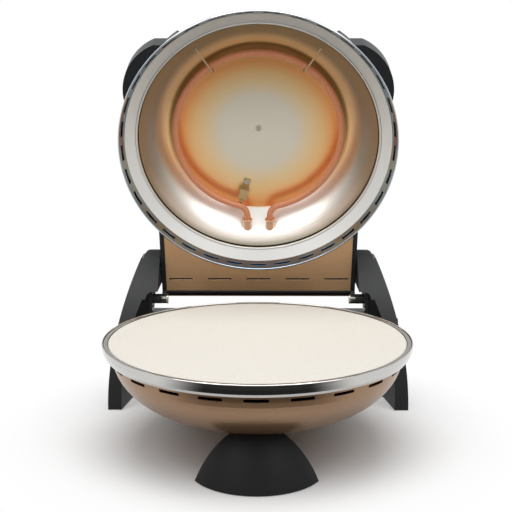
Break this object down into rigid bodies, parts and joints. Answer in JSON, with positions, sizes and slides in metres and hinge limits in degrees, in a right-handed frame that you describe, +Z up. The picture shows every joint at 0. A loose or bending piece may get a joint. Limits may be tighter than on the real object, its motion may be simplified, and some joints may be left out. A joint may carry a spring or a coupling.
{
  "type": "electric pizza maker",
  "caption": "Round countertop cooker with a stone hearth in a shallow bowl and a domed heated lid on a rear hinge, shown open.",
  "frame": {"origin": "centre of the footprint's bounding box, on the table", "axes": "+Z up, -Y towards the user, +X to the user's right"},
  "size_m": [0.353, 0.4025, 0.458],
  "materials": {
    "copper_enamel": "satin copper-coloured enamel",
    "polished_steel": "polished",
    "satin_steel": "bright satin sheet",
    "baking_stone": "fine matt fired stone",
    "hot_tube": "glowing heater tube",
    "bright_steel": "zinc plated",
    "dark_sheet": "black coated sheet",
    "black_plastic": "fine satin moulding",
    "control_housing": "matt moulding",
    "ceramic": "plain",
    "washer_plastic": "plain",
    "rubber": "matt",
    "lamp_lens": "clear amber lens"
  },
  "bodies": {
    "base": {"lower_shell": "copper_enamel", "lower_rim": "polished_steel", "lower_pan": "satin_steel", "baking_stone": "baking_stone", "lower_element": "hot_tube", "lower_element_posts": "bright_steel", "lower_terminals": "bright_steel", "front_foot": "black_plastic", "foot_base": "black_plastic", "foot_pad": "rubber", "foot_bracket": "dark_sheet", "foot_screws": "bright_steel", "left_leg": "black_plastic", "right_leg": "black_plastic", "left_leg_cover": "black_plastic", "right_leg_cover": "black_plastic", "leg_pads": "rubber", "rear_bridge": "black_plastic", "bridge_cover": "black_plastic", "bowl_saddle": "dark_sheet", "left_hinge_bracket": "dark_sheet", "right_hinge_bracket": "dark_sheet", "hinge_pins": "bright_steel", "hinge_washers": "washer_plastic", "thermostat_body": "control_housing", "timer_body": "control_housing", "pilot_lamp": "lamp_lens", "terminal_block": "ceramic", "cable_gland": "black_plastic", "cover_screws": "bright_steel", "bracket_screws": "bright_steel"},
    "lid": {"upper_shell": "copper_enamel", "upper_rim": "polished_steel", "upper_reflector": "satin_steel", "upper_element": "hot_tube", "upper_element_clips": "bright_steel", "upper_terminals": "bright_steel", "ring_clamp": "bright_steel", "reflector_screws": "bright_steel", "neck_panel": "copper_enamel", "neck_cover": "copper_enamel", "neck_bar": "black_plastic", "left_hinge_arm": "black_plastic", "right_hinge_arm": "black_plastic", "left_handle": "black_plastic", "right_handle": "black_plastic", "handle_screws": "bright_steel"},
    "thermostat": {"thermostat_shaft": "bright_steel", "thermostat_knob": "black_plastic"},
    "timer": {"timer_shaft": "bright_steel", "timer_knob": "black_plastic"}
  },
  "joints": [
    {"name": "lid_hinge", "type": "hinge", "parent": "base", "child": "lid", "pos_m": [0, 0.15975, 0.114], "axis": [1, 0, 0], "range_deg": [0, 70.7]},
    {"name": "thermostat_turn", "type": "hinge", "parent": "base", "child": "thermostat", "pos_m": [0.16, 0.17125, 0.068], "axis": [1, 0, 0], "range_deg": [0, 270]},
    {"name": "timer_turn", "type": "hinge", "parent": "base", "child": "timer", "pos_m": [-0.16, 0.17125, 0.068], "axis": [-1, 0, 0], "range_deg": [0, 300]}
  ]
}
